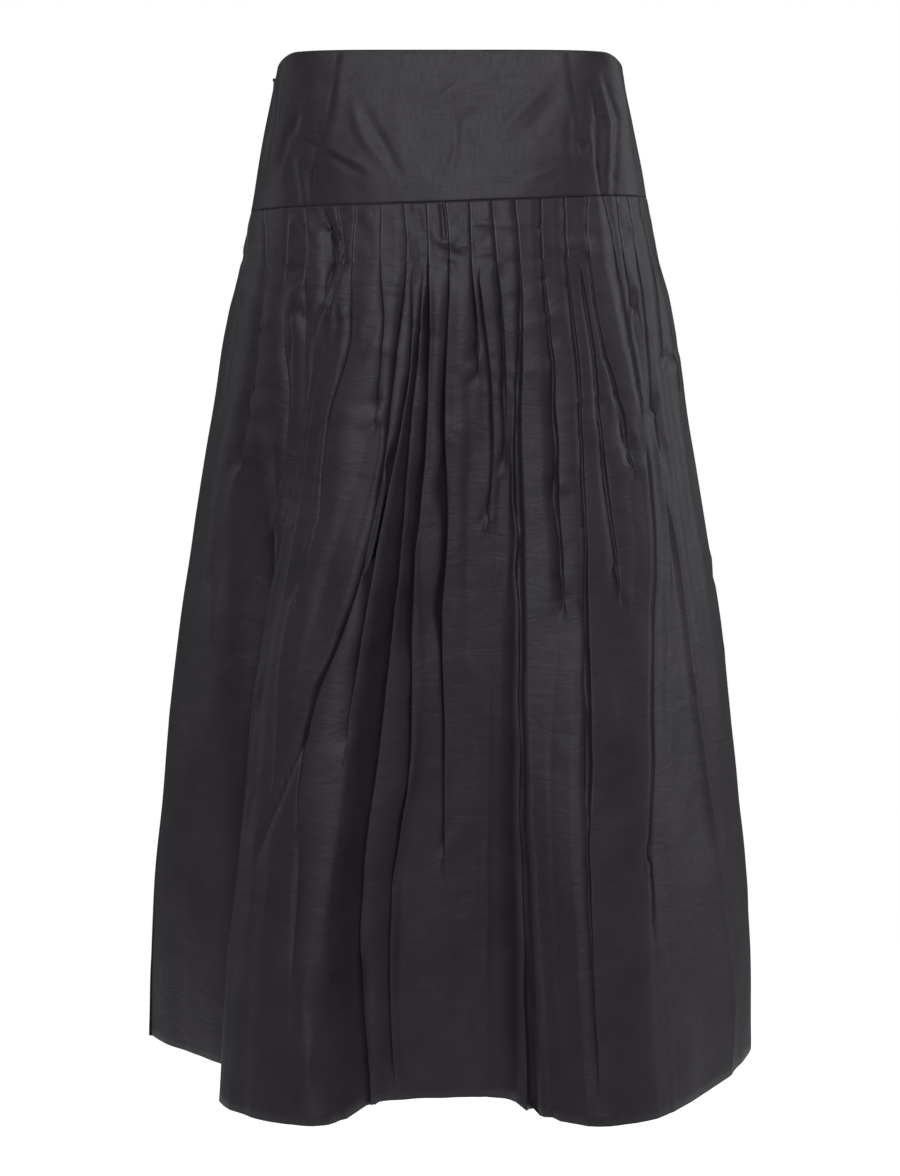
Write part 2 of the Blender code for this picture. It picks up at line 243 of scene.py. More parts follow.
def turned_row(x, y, z, row, inward, up):
    """A row of the cloth, moved inside and up, mm."""
    ends = len(SIDE_TURN) - 1
    bearing = np.unwrap(np.arctan2(x[row], -y[row]))
    reach = np.hypot(x[row], y[row])
    plain = slice(ends, len(reach) - ends)
    total = bearing[plain].copy()
    behind = reach[plain].copy()
    count = np.ones_like(total)
    room = np.minimum(np.arange(len(total)), np.arange(len(total))[::-1])
    for away in range(1, TURN_REACH + 1):
        fits = room >= away
        total += fits * (np.roll(bearing[plain], away) + np.roll(bearing[plain], -away))
        beside = np.minimum(np.roll(reach[plain], away), np.roll(reach[plain], -away))
        behind = np.where(fits, np.minimum(behind, beside), behind)
        count += 2 * fits
    inside = np.clip((inward - BEHIND_FROM) / BEHIND_OVER, 0, 1)
    bearing[plain] = mix(bearing[plain], total / count, inside)
    reach[plain] = mix(reach[plain], behind, inside)
    reach -= inward / 1000
    return reach * np.sin(bearing), -reach * np.cos(bearing), z[row] + up / 1000


def turn_edges(x, y, z, above, below):
    """Carries the cloth on round its upper and lower edges, and inside."""
    rows = [turned_row(x, y, z, back, inward, up) for inward, back, up in above]
    rows += list(zip(x, y, z))
    rows += [turned_row(x, y, z, -1 - back, inward, up) for inward, back, up in below[::-1]]
    return [np.stack(values) for values in zip(*rows)]


def object_from(name, shape):
    """A smooth object of a finished bmesh, which is freed."""
    mesh = bpy.data.meshes.new(name)
    shape.to_mesh(mesh)
    shape.free()
    mesh.shade_smooth()
    made = bpy.data.objects.new(name, mesh)
    bpy.context.scene.collection.objects.link(made)
    return made


def cloth_sheet(name, x, y, z):
    """A sheet of cloth through rows of points, facing out, with its lengths in metres as its UV map."""
    rows, columns = x.shape
    shape = bmesh.new()
    bmesh.ops.create_grid(shape, x_segments=columns - 1, y_segments=rows - 1, size=0.5)
    cloth = object_from(name, shape)
    mesh = cloth.data
    flat = np.empty(len(mesh.vertices) * 3)
    mesh.vertices.foreach_get("co", flat)
    flat = flat.reshape(-1, 3)
    column = np.rint((flat[:, 0] + 0.5) * (columns - 1)).astype(int)
    row = np.rint((0.5 - flat[:, 1]) * (rows - 1)).astype(int)
    points = np.stack((x[row, column], y[row, column], z[row, column]), 1)
    mesh.vertices.foreach_set("co", points.ravel())
    across = np.hypot(np.diff(x, axis=1), np.diff(y, axis=1))
    across = np.concatenate((np.zeros((rows, 1)), np.cumsum(across, 1)), 1)
    across -= across[:, columns // 2][:, None]
    cut = np.stack((across[row, column], z[row, column]), 1)
    corners = np.empty(len(mesh.loops), int)
    mesh.loops.foreach_get("vertex_index", corners)
    mesh.uv_layers.new(name="cut").data.foreach_set("uv", cut[corners].ravel())
    mesh.update()
    wall = cloth.modifiers.new("thickness", "SOLIDIFY")
    wall.thickness = TAFFETA_THICK
    wall.offset = -1
    return cloth


def small_creases(count, low, high, seed):
    """Rows of short crisp creases for a crease table, scattered between two heights, mm."""
    draw = np.random.default_rng(seed)
    rows = []
    for _ in range(count):
        x = draw.uniform(-1, 1) * mix(*SMALL_SPREAD, -low / 1000 / WAIST_TO_HEM)
        z = draw.uniform(low, high)
        # Half of them run down the cloth, and half of them nearly across it
        lean = draw.normal(0, 0.5) + draw.choice((0.0, 0.0, 1.3, -1.3))
        length = draw.uniform(*SMALL_LENGTHS)
        bend = draw.normal(0, 2.5)
        across = length * math.sin(lean)
        down = length * math.cos(lean)
        height = draw.choice((-1, 1)) * draw.uniform(*SMALL_HEIGHTS)
        ends = (x - across, z + down, x + bend, z, x + across, z - down)
        rows.append((*ends, draw.uniform(*SMALL_WIDTHS), height, 1))
    return tuple(rows)


def yoke(name, middle, creases, seed):
    """The yoke whose middle has the given bearing, from side seam to side seam."""
    down = np.linspace(0, 1, YOKE_ROWS)[:, None]
    edge = np.array(SIDE_TURN) / 1000
    from_seam = np.concatenate((edge[:, 0], np.full(YOKE_COLUMNS, edge[-1, 0]), edge[::-1, 0]))
    out = np.concatenate((edge[:, 1], np.zeros(YOKE_COLUMNS), edge[::-1, 1]))
    spread = np.linspace(-1, 1, YOKE_COLUMNS + 2)
    spread = np.concatenate((np.full(len(edge) - 1, -1), spread, np.full(len(edge) - 1, 1)))
    z = down * YOKE_SEAM_Z
    for _ in range(2):
        reach = plain_radius(RIGHT_ANGLE, z)
        bearing = middle + spread * (RIGHT_ANGLE - (SEAM_GAP / 2 + from_seam) / reach)
        aside = np.abs(plain_radius(bearing, 0.0) * np.sin(bearing))
        past = (aside - WAIST_DIP_FROM) / (SECTIONS[0, 1] - WAIST_DIP_FROM)
        dip = WAIST_DIP * np.clip(past, 0, 1) ** 2
        z = mix(WAIST_EDGE - dip, seam_height(bearing) + SEAM_GAP / 2, down)
    reach = plain_radius(bearing, z)
    x = reach * np.sin(bearing)
    scattered = small_creases(*YOKE_SMALL_CREASES, seed)
    lay = YOKE_CREASES * crease_heights(x * 1000, z * 1000, creases)
    lay += YOKE_SCATTERED * crease_heights(x * 1000, z * 1000, scattered)
    lay += swells(x, z, YOKE_SMALL_SWELLS, seed) + swells(x, z, YOKE_LARGE_SWELLS, seed + 1)
    lay *= ease((1 - np.abs(spread)) / YOKE_PLAIN_SIDE) * ease(down / YOKE_PLAIN_TOP)
    seam_roll = SEAM_ROLL * np.exp(-(1 - down) / YOKE_ROLL_OVER)
    reach = reach + out + lay - seam_roll
    x = reach * np.sin(bearing)
    y = -reach * np.cos(bearing)
    x, y, z = turn_edges(x, y, z, WAIST_TURN, SEAM_TURN)
    return cloth_sheet(name, x, y, z)


def srgb(code):
    """An sRGB hex colour as linear values."""
    parts = [int(code[place:place + 2], 16) / 255 for place in (1, 3, 5)]
    linear = [part / 12.92 if part <= 0.04045 else ((part + 0.055) / 1.055) ** 2.4 for part in parts]
    return (*linear, 1.0)


def add_node(tree, kind, links=(), **settings):
    """Adds a node, sets its properties and its sockets, and links what comes into it."""
    made = tree.nodes.new(kind)
    for name, value in settings.items():
        if hasattr(made, name):
            setattr(made, name, value)
        else:
            made.inputs[name.replace("_", " ")].default_value = value
    for socket, (source, output) in dict(links).items():
        tree.links.new(source.outputs[output], made.inputs[socket])
    return made


def add_ramp(tree, link, dark, light, low=0.0, high=1.0):
    """A colour ramp from one sRGB colour at a low value to another at a high one."""
    ramp = add_node(tree, "ShaderNodeValToRGB", {"Fac": link})
    for element, position, code in zip(ramp.color_ramp.elements, (low, high), (dark, light)):
        element.position = position
        element.color = srgb(code)
    return ramp


def add_surface(tree, links, **settings):
    """The surface of a material, and its output."""
    shader = add_node(tree, "ShaderNodeBsdfPrincipled", links, **settings)
    add_node(tree, "ShaderNodeOutputMaterial", {"Surface": (shader, "BSDF")})


def new_material(name):
    material = bpy.data.materials.new(name)
    material.use_nodes = True
    material.node_tree.nodes.clear()
    return material, material.node_tree


# Taffeta: a crisp, closely woven polyester with a fine crosswise rib. Smooth filament yarns give it a broad
# soft sheen. The real rib is about 0.3 mm, too fine to show from here, so it is drawn at 1.1 mm and faintly.
# Its finest creases, from wear and from folding, are 10 to 30 mm long.
taffeta, tree = new_material("charcoal_taffeta")
cut = add_node(tree, "ShaderNodeUVMap", uv_map="cut")
broad = add_node(tree, "ShaderNodeTexNoise", {"Vector": (cut, "UV")}, Scale=16, Detail=4, Roughness=0.6)
tone = add_ramp(tree, (broad, "Fac"), "#2c272e", "#37323a", 0.3, 0.7)
streaks_at = add_node(tree, "ShaderNodeMapping", {"Vector": (cut, "UV")}, Scale=(900, 60, 1))
streaks = add_node(tree, "ShaderNodeTexNoise", {"Vector": (streaks_at, "Vector")}, Scale=1, Detail=2)
ribs = add_node(
    tree,
    "ShaderNodeTexWave",
    {"Vector": (cut, "UV")},
    bands_direction="Y",
    Scale=290,
    Distortion=1.5,
    Detail=1,
)
grain = add_node(tree, "ShaderNodeMath", {0: (ribs, "Fac"), 1: (streaks, "Fac")}, operation="ADD")
weave = add_node(tree, "ShaderNodeBump", {"Height": (grain, "Value")}, Strength=0.12, Distance=0.0002)
crush_at = add_node(tree, "ShaderNodeMapping", {"Vector": (cut, "UV")}, Scale=(62, 36, 1))
crush = add_node(
    tree,
    "ShaderNodeTexNoise",
    {"Vector": (crush_at, "Vector")},
    noise_type="RIDGED_MULTIFRACTAL",
    Scale=1,
    Detail=2,
)
crushed = add_node(
    tree,
    "ShaderNodeBump",
    {"Height": (crush, "Fac"), "Normal": (weave, "Normal")},
    Strength=0.3,
    Distance=0.0012,
)
handled_at = add_node(tree, "ShaderNodeMapping", {"Vector": (cut, "UV")}, Scale=(30, 70, 1))
handled = add_node(
    tree,
    "ShaderNodeTexNoise",
    {"Vector": (handled_at, "Vector")},
    Scale=1,
    Detail=5,
    Roughness=0.6,
    Distortion=0.8,
)
fine_creases = add_node(
    tree,
    "ShaderNodeBump",
    {"Height": (handled, "Fac"), "Normal": (crushed, "Normal")},
    Strength=0.45,
    Distance=0.002,
)
rough = add_node(
    tree,
    "ShaderNodeMapRange",
    {"Value": (streaks, "Fac")},
    From_Min=0.3,
    From_Max=0.7,
    To_Min=0.52,
    To_Max=0.60,
)
add_surface(
    tree,
    {"Base Color": (tone, "Color"), "Roughness": (rough, "Result"), "Normal": (fine_creases, "Normal")},
    IOR=1.5,
    Specular_IOR_Level=0.42,
)

yokes = (
    (yoke("yoke_front_cloth", 0.0, YOKE_FRONT_CREASES, 3), "yoke_front"),
    (yoke("yoke_back_cloth", math.pi, YOKE_BACK_CREASES, 5), "yoke_back"),
)
for cloth, node in yokes:
    cloth.data.materials.append(taffeta)
    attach(cloth, "skirt")
    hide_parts(node)

# ---------------------------------------------------------------------------------------------
# Front and back skirt panels: crisp taffeta in knife pleats, stitched along their folded edges below the
# yoke and then let go, so that they open into uneven folds. The hem is turned up and blind-stitched inside.

# Shares of the way down from the yoke seam to the hem, for the tables of the folds
FRONT_AT = (0.0, 0.07, 0.16, 0.25, 0.36, 0.47, 0.62, 0.78, 1.0)
BACK_AT = (0.0, 0.20, 0.41, 0.70, 1.0)
FRONT_OPEN_AT = (0.09, 0.15, 0.21, 0.27, 0.33, 0.40, 0.48, 0.58, 0.70, 0.85, 1.0)
BACK_OPEN_AT = (0.10, 0.20, 0.33, 0.47, 0.65, 0.80, 1.0)
FRONT_FOLDS = (
    # each fold's bearing from the panel's middle at the shares FRONT_AT of the way down, degrees; how far
    # the hem is from the axis just before and after the fold, mm (0 before: it runs on smoothly); how far
    # the fold stands open at the shares FRONT_OPEN_AT, mm; and 1 if it is stitched down at the top
    ((-80, -77, -73, -74, -78.5, -78, -77, -78, -81), 0, 264,
     (0.5, 0.4, 0.2, 0, 0, 0, 0, 0, 0, 0, 0), 1),
    ((-70, -65, -62.5, -64, -68, -70, -70, -71, -74), 0, 248,
     (0.8, 1.4, 3, 1, 0, 0, 0, 0, 0, 0, 0), 1),
    ((-59.3, -57.4, -54.2, -51.1, -53, -56, -59, -62, -66), 0, 236,
     (1, 2, 3.2, 2.4, 1, 0, 0, 0, 0, 0, 0), 1),
    ((-54.1, -50.6, -47.5, -45.5, -46.8, -47.5, -46.6, -45.3, -44.7), 216, 283,
     (1.2, 2, 2.5, 2.5, 2.5, 2.5, 3, 4, 4, 4, 3), 1),
    ((-48.9, -44.5, -43.4, -43.9, -43.7, -43.7, -42.1, -40.9, -38.5), 0, 303,
     (1, 0, 0, 0, 0, 0, 0, 0, 0, 0, 0), 1),
    ((-43.6, -39.9, -41.4, -41.4, -40.9, -41, -39.4, -36.6, -33.5), 0, 311,
     (0.6, 0, 0, 0, 0, 0, 0, 0, 0, 0, 0), 1),
    ((-37.1, -36.2, -33.8, -36.7, -36, -38.4, -35.3, -32, -28.5), 0, 316,
     (0.7, 1.4, 2, 1.6, 1.2, 0.8, 0, 0, 0, 0, 0), 1),
    ((-28.1, -26.4, -23.4, -23.4, -27, -31, -33, -30, -26.5), 0, 315.5,
     (0.8, 1, 1, 0, 0, 0, 0, 0, 0, 0, 0), 1),
    ((-19.5, -17.1, -18.3, -19.3, -20.9, -25.3, -30.6, -28, -24.5), 0, 314.3,
     (1, 2, 2.5, 2.5, 2.5, 2.5, 3, 4.5, 0, 0, 0), 1),
    ((-16.5, -15.5, -13.7, -15.5, -19.2, -21.3, -22.8, -23, -19.8), 0, 306.5,
     (0.5, 1, 2, 5, 5.5, 5, 3.5, 0.8, 0, 0, 0), 0),
    ((-12.6, -10.8, -11.3, -13.2, -14.6, -16.4, -18.6, -20.2, -16.2), 244, 240,
     (0.5, 1.2, 1.5, 1.5, 2.5, 4, 5, 4.5, 3, 2.5, 2), 0),
    ((-10.1, -8.5, -7.7, -8.1, -10.1, -11.6, -10.9, -14.4, -12.3), 0, 222,
     (1.4, 4, 3.5, 4.5, 5.5, 5.5, 4, 2.5, 2, 1, 0), 1),
    ((-1.9, -0.2, -1.1, -1.9, -0.8, -2.6, -1.6, -1.8, -2), 0, 209,
     (0.8, 1.5, 2.5, 5, 7.5, 7, 4, 1.5, 0.5, 0, 0), 1),
    ((8.4, 8.6, 10.3, 10, 9, 8, 7, 6, 4), 0, 207,
     (0.8, 2.2, 0, 0, 0, 0, 0, 0, 0, 0, 0), 1),
    ((10.6, 11, 13.6, 15.1, 12.8, 10.5, 9.5, 8, 6.5), 0, 208,
     (0.8, 1.2, 1.2, 1, 0.8, 0, 0, 0, 0, 0, 0), 0),
    ((17.6, 18.4, 19.6, 19.2, 17.5, 15.2, 13.2, 12, 11), 0, 214,
     (0.8, 2, 3, 1, 0, 0, 0, 0, 0, 0, 0), 1),
    ((26.9, 26.8, 25.4, 22.9, 21.6, 19.8, 17.6, 16.4, 16.0), 256, 276,
     (1.5, 3, 5, 6, 6, 6, 2, 1.5, 1.5, 4, 8), 1),
    ((36.4, 34.8, 34.7, 33.2, 30.8, 29, 24, 21.5, 20.3), 0, 303,
     (1, 1.2, 3, 4, 4.5, 3, 0, 0, 0, 0, 0), 1),
    ((44.4, 42.8, 42.3, 40, 37.2, 33.8, 29.7, 25.4, 23), 0, 316,
     (1.2, 1.3, 1.5, 1.5, 1.5, 2, 5, 7, 4, 1, 0), 1),
    ((47.3, 46.8, 47.2, 45.4, 43.8, 41.4, 36.1, 31.1, 26.5), 0, 320,
     (1.5, 2.5, 2.5, 2.5, 2, 1.2, 0, 0, 0, 0, 0), 0),
    ((51.9, 49.6, 50, 52.1, 51, 46, 40.2, 34.8, 30), 0, 321,
     (1, 1.2, 4, 2.5, 0, 0, 0, 0, 0, 0, 0), 1),
    ((57.2, 58.5, 58.7, 57.6, 55.1, 49.6, 43.2, 37.6, 34), 0, 318,
     (2.5, 0.8, 0.6, 0, 0.6, 0.8, 0.8, 0.7, 0.8, 0, 0), 1),
    ((61.8, 61.4, 61.6, 60, 58, 53, 47, 42, 38.5), 0, 310,
     (2.2, 0, 0, 0, 0, 0, 0, 0, 0, 0, 0), 1),
    ((66.7, 67, 64.8, 63.2, 62.9, 62.2, 61.2, 61.8, 59.5), 0, 285,
     (2.5, 2.5, 0.6, 0.3, 0, 0, 0, 0, 0, 0, 0), 1),
    ((73.1, 73.5, 72, 71, 70.5, 70, 69.5, 69.5, 68), 0, 280.5,
     (1.5, 0.8, 0, 0, 0, 0, 0, 0, 0, 0, 0), 1),
    ((81, 80.5, 80, 79.5, 79, 78.5, 78, 78, 77), 0, 281.5,
     (0.8, 0.5, 0.3, 0, 0, 0, 0, 0, 0, 0, 0), 1),
)
BACK_FOLDS = (
    # the same columns, with the bearings at the shares BACK_AT and the openings at the shares BACK_OPEN_AT
    ((-85.8, -85, -84, -83.2, -82.5), 0, 282, (0.5, 0.3, 0, 0, 0, 0, 0), 1),
    ((-79.8, -78.6, -76.5, -75.4, -75), 0, 291, (1.2, 1.5, 0.8, 0, 0, 0, 0), 1),
    ((-73.8, -72.4, -69, -68.4, -67), 0, 301, (1.5, 2.2, 2.5, 1.5, 0, 0, 0), 1),
    ((-67.3, -64, -61, -59.2, -59), 0, 303, (1.6, 1.2, 0, 0, 0, 0, 0), 1),
    ((-60.9, -58.2, -54, -54.4, -52), 0, 293, (2, 2.5, 2, 0.5, 0, 0, 0), 1),
    ((-53.8, -50.2, -46.5, -46.8, -45), 0, 264, (1.5, 0.8, 0, 0, 0, 0, 0), 1),
    ((-46.2, -43.4, -39, -37.6, -38.5), 232, 270, (2.5, 3, 4, 5, 6, 7, 7), 1),
    ((-37.6, -35.6, -33, -31.6, -31), 0, 291, (1.5, 2, 0.8, 0, 0, 0, 0), 1),
    ((-28.9, -28.6, -26.5, -26.2, -25), 0, 299, (2, 2, 2.2, 3, 1, 0, 0), 1),
    ((-20.1, -19, -20, -19.6, -18), 0, 293, (1.5, 0.6, 0, 0, 0, 0, 0), 1),
    ((-10.4, -11.8, -12.8, -13.4, -11.5), 0, 263, (1.8, 2.2, 1.2, 0, 0, 0, 0), 1),
    ((0, -1.6, -3.5, -5.2, -4), 226, 264, (2.5, 3, 5, 6, 7, 8, 8), 1),
    ((9.9, 9.2, 6, 5.2, 4), 0, 289, (1.5, 1, 0, 0, 0, 0, 0), 1),
    ((20.1, 17.8, 14, 12, 11), 0, 303, (2, 2.2, 3, 2, 0.5, 0, 0), 1),
    ((29.3, 26, 22, 19, 18), 0, 303, (1.2, 0.6, 0, 0, 0, 0, 0), 1),
    ((38.4, 34.4, 29, 27.4, 25.5), 0, 281, (2, 2.4, 1.6, 0.4, 0, 0, 0), 1),
    ((46.9, 42.6, 36.5, 35.8, 34), 240, 278, (2.5, 3.2, 4, 5, 6, 6, 7), 1),
    ((54.5, 50.6, 45, 44.6, 43), 0, 293, (1.6, 1, 0, 0, 0, 0, 0), 1),
    ((61.9, 58.6, 53.5, 52.2, 52), 0, 305, (2, 2.6, 3, 1.5, 0, 0, 0), 1),
    ((69.3, 67.4, 63, 62.6, 62), 0, 301, (1.5, 1.2, 0.5, 0, 0, 0, 0), 1),
    ((76.4, 75, 72.5, 72, 72), 0, 291, (1, 0.8, 0, 0, 0, 0, 0), 1),
    ((83.9, 83.2, 82, 81.8, 82), 0, 285, (0.6, 0.3, 0, 0, 0, 0, 0), 1),
)
FRONT_CREASES = (
    # the columns of the yokes' tables
    (-175, -305, -186, -352, -204, -397, 6, 2.0, 0),
    (-195, -310, -217, -384, -226, -475, 5, 3.0, 1),
    (-226, -460, -228, -530, -228, -610, 6, 3.0, 1),
    (176, -340, 197, -430, 211, -528, 5, 3.0, 1),
    (207, -505, 225, -640, 240, -740, 5, 4.0, 1),
    (235, -700, 249, -829, 247, -900, 5, 3.4, 1),
    (-176, -330, -193, -600, -213, -870, 14, -19, 0),
    (-153, -330, -171, -600, -193, -870, 9, 4, 0),
    (-111, -663, -113, -722, -115, -789, 1.8, -1.8, 1),
    (-101, -560, -130, -643, -153, -703, 3.2, -3.4, 1),
    (-75, -521, -84, -568, -88, -610, 4, -3.0, 0),
    (-33, -636, -20, -675, -10, -704, 1.5, -1.6, 1),
    (-43, -652, -49, -719, -49, -816, 1.8, -2.0, 1),
    (-42, -640, -55, -648, -66, -662, 2.5, 1.5, 1),
    (-49, -626, -38, -635, -27, -628, 2.5, 1.5, 1),
    (-32, -420, -31, -482, -30, -564, 3, 2.2, 1),
    (-30, -550, -34, -616, -41, -645, 3, 2.2, 1),
    (22, -459, 44, -449, 64, -444, 2.0, 1.0, 1),
    (68, -444, 86, -446, 107, -444, 2.0, 1.0, 1),
    (-32, -507, -21, -504, -7, -503, 2.0, 0.8, 1),
    (183, -551, 190, -541, 201, -563, 2.0, 1.0, 1),
    (128, -303, 144, -334, 160, -359, 4, -2.5, 0),
    (131, -290, 140, -303, 149, -307, 2.5, -1.5, 0),
    (-120, -141, -111, -173, -105, -213, 1.8, -3.6, 1),
    (-114, -140, -108, -171, -103, -208, 5.0, -4.2, 0),
    (-115, -143, -107, -166, -101, -190, 1.5, 1.8, 1),
    (-111, -146, -103, -168, -99, -186, 1.5, -3.0, 1),
    (-105, -150, -99, -170, -95, -188, 1.5, 1.6, 1),
    (-100, -156, -95, -175, -93, -191, 1.6, -2.8, 1),
    (-126, -139, -118, -170, -110, -200, 2.0, 1.4, 1),
    (-131, -154, -122, -172, -111, -187, 2.5, -1.2, 0),
    (-146, -220, -131, -211, -122, -196, 2.5, 1.2, 0),
    (-142, -235, -132, -229, -125, -247, 4, -2.0, 0),
    (-177, -294, -169, -303, -175, -314, 2.0, -1.2, 1),
    (-99, -195, -113, -237, -120, -265, 2.5, 1.6, 1),
    (-91, -195, -102, -230, -104, -256, 2.5, 1.0, 0),
    (-8, -134, -6, -152, -5, -170, 1.4, -2.8, 1),
    (7, -145, 8, -161, 10, -175, 1.4, -2.2, 1),
    (-10, -176, 0, -180, 12, -185, 1.8, -2.8, 1),
    (-12, -168, -3, -172, 6, -169, 1.6, 1.8, 1),
    (-6, -186, 2, -191, 4, -202, 1.8, -2.8, 1),
    (4, -176, 12, -172, 20, -176, 1.6, 1.4, 1),
    (18, -188, 35, -185, 52, -188, 2.2, -0.7, 0),
    (65, -188, 83, -182, 101, -187, 2.2, -0.6, 0),
    (-17, -188, -25, -185, -36, -190, 2.0, -0.6, 0),
    (132, -187, 141, -194, 148, -202, 2.0, -0.8, 0),
    (-151, -188, -140, -195, -126, -191, 2.5, -0.8, 0),
    (44, -135, 35, -165, 26, -178, 2.5, -0.6, 0),
    (70, -139, 76, -156, 83, -162, 2.2, -0.7, 0),
    (48, -191, 57, -188, 61, -188, 1.8, -1.0, 0),
    (-62, -230, -69, -252, -74, -273, 2.5, -1.5, 0),
    (-91, -799, -99, -834, -103, -880, 3.0, 2.5, 1),
    (-87, -773, -90, -829, -82, -895, 8.0, -8.0, 0),
)
BACK_CREASES = (
    # the same columns
    (-180, -300, -196, -372, -206, -450, 5, 2.4, 1),
    (-214, -480, -222, -560, -224, -660, 5, 2.6, 1),
    (176, -330, 192, -410, 208, -500, 4, 2.4, 1),
    (210, -520, 226, -630, 238, -760, 4, 3.0, 1),
    (-96, -520, -120, -600, -138, -676, 2.0, -2.2, 1),
    (-70, -640, -76, -706, -70, -790, 2.0, -2.0, 1),
    (40, -560, 58, -600, 84, -622, 2.2, 1.4, 1),
    (34, -600, 40, -672, 36, -760, 2.5, -2.2, 1),
    (120, -470, 132, -530, 128, -610, 4.0, -3.0, 0),
    (-30, -430, -8, -424, 16, -430, 2.0, 1.0, 1),
    (-150, -470, -138, -462, -122, -470, 2.2, 1.0, 1),
    (92, -340, 108, -350, 120, -344, 2.4, -1.2, 0),
    (-116, -150, -106, -172, -104, -200, 2.4, -1.6, 1),
    (60, -150, 54, -168, 48, -184, 2.4, -0.8, 0),
    (-50, -186, -32, -183, -14, -187, 2.2, -0.7, 0),
    (24, -186, 44, -182, 66, -186, 2.2, -0.7, 0),
    (112, -182, 128, -186, 144, -182, 2.2, -0.8, 0),
    (-140, -228, -130, -238, -134, -252, 3.0, -1.6, 0),
    (150, -250, 140, -262, 146, -280, 3.0, -1.6, 0),
    (-60, -830, -66, -860, -60, -895, 6.0, -5.0, 0),
)

# Where the cloth is crumpled under the yoke seam, bearings in degrees: it has finer columns there
FRONT_CRUMPLED = ((-50, -35), (-11, -1))
BACK_CRUMPLED = ((-38, -28),)
CRUMPLED_MORE = 3
SIDE_HEM = 283.0  # how far the side seam's hem is from the axis, mm

# Shares of the way down from the yoke seam to the hem
STITCHED_TO = 0.068
RELEASED_OVER = 0.05
OPENS_BEFORE = 0.012
OPENS_OVER = 0.02
FOLDS_START = 0.12
SETTLES_FROM = 0.25
SETTLES_OVER = 0.45
HANGS_FROM = 0.85
HANGS_OVER = 0.15
PANEL_ROLL_OVER = 0.0025
PANEL_PLAIN_TOP = 0.004

# Each folded edge wanders a little, radians and metres, and stands open unevenly, shares and metres
FOLD_WANDER = (math.radians(0.06), 0.06)
OPENING_VARIES = (0.22, 0.07)
OPENING_LIMITS = (0.4, 1.8)
OPENING_SEED = 50

# How far a fold stands open where it is stitched down, and where it fades into the cloth, metres
SHUT = 0.00035
FADED = 0.0003
# Where a fold has run out, its columns lie evenly on the cloth: metres to each side, but at most this
# share of the way to the next fold
FLAT = 0.008
FLAT_SHARE = 0.42
# The step up from one pleat to the next, metres, and its shares where it is stitched down and let go
PLEAT_STEP = 0.0007
STEP_STITCHED = 0.5
STEP_RELEASED = 2.2
# How wide and deep a shut fold is, and how far it is tucked under its edge and rolled over it, metres;
# and the share of this that is left where it is stitched down
SHUT_WIDE = 0.0007
SHUT_DEEP = 0.0009
SHUT_TUCK = 0.0009
SHUT_ROLL = 0.0004
PRESSED_FLAT = 0.3
# What each metre that the fold stands open adds to these, metres, and the most that it adds
OPEN_WIDE = 0.8
OPEN_DEEP = (4.0, 0.016)
OPEN_TUCK = (0.8, 0.005)
OPEN_ROLL = (0.12, 0.0006)
# Every folded edge points to the left. To show from the front, a fold on the left half is wider and deeper.
LEFT_WIDER = 1.1
LEFT_DEEPER = 1.2
RIGHT_NARROWER = 0.25
RIGHT_SHALLOWER = 2.6
# What each millimetre of a step in the hem adds to the roll, metres, and the most that it adds
STEP_ROLL = (0.0003, 0.006)
# How wide the folded edge is, and how far it is drawn in by its stitches, metres
EDGE_WIDE = 0.0008
EDGE_SEWN_DOWN = 0.0002
# How much lower the hem hangs for each metre that the cloth goes inside a fold
HEM_DROPS = 0.2

# The cloth between two folds: how far it is puffed out where it is at least PUFF_WIDTH wide; the pitch of
# its columns at the hem, which is about HEM_RADIUS from the axis, metres; and the fewest and most columns
PUFF = 0.0022
PUFF_WIDTH = 0.02
FACE_PITCH = 0.0055
HEM_RADIUS = 0.27
FACE_COLUMNS = (2, 15)
# The swells of the hem grow down the cloth with this power
FOLDS_GROW = 1.1

# Uneven swells of the panels: mean height and length, metres; and the metres across that a radian counts.
# The small ones come in over a share of the way down. Those of the pressed pleats are so many times finer
# down than across, and fade out from a share of the way down, over so much more.
SMALL_SWELLS = (0.00035, 0.05)
SMALL_SWELLS_OVER = 0.1
LARGE_SWELLS = (0.0013, 0.16)
PRESSED_SWELLS = (0.00022, 0.02)
PRESSED_FINER = 2.5
PRESSED_TO = 0.05
PRESSED_OVER = 0.06
SWELLS_ACROSS = 0.22
LOWER_SEED = 7  # the small creases lower down have another seed by this
# The cloth lies plain so far from the side seams, and is as it should be so much further on, radians
PANEL_PLAIN_SIDE = 0.006
PANEL_PLAIN_OVER = 0.03

# How much of their tables' heights the listed and the small scattered creases get
PANEL_CREASES = 1.5
PANEL_SCATTERED = 1.3
# How many small creases lie between two heights, mm
UPPER_SMALL_CREASES = (90, -420, -150)
LOWER_SMALL_CREASES = (50, -880, -420)
# A fold ends where its opening was last LEAST_OPENING, mm. If that is above LAST_HOOK of the way down, there
# is a hooked dent HOOK_BELOW further down, of a trough and a ridge
LEAST_OPENING = 0.5
LAST_HOOK = 0.75
HOOK_BELOW = 0.03
HOOKS = (
    # x and z at the start, the middle and the end, from the dent's own place; width and height, mm
    (0, 15, 2, 0, 9, -10, 2.4, -2.0),
    (-3, 4, 1, -6, 6, -15, 2.4, 1.3),
)

# The turned-up hem, with the columns of WAIST_TURN
HEM_TURN = ((2.8, 3, 0.0), (2.8, 1, 0.0), (2.5, 0, 0.1), (0.9, 0, -0.4))
PANEL_ROWS = np.concatenate((
    np.linspace(0, 0.10, 30, endpoint=False),
    np.linspace(0.10, 0.40, 58, endpoint=False),
    np.linspace(0.40, 1.0, 56),
))


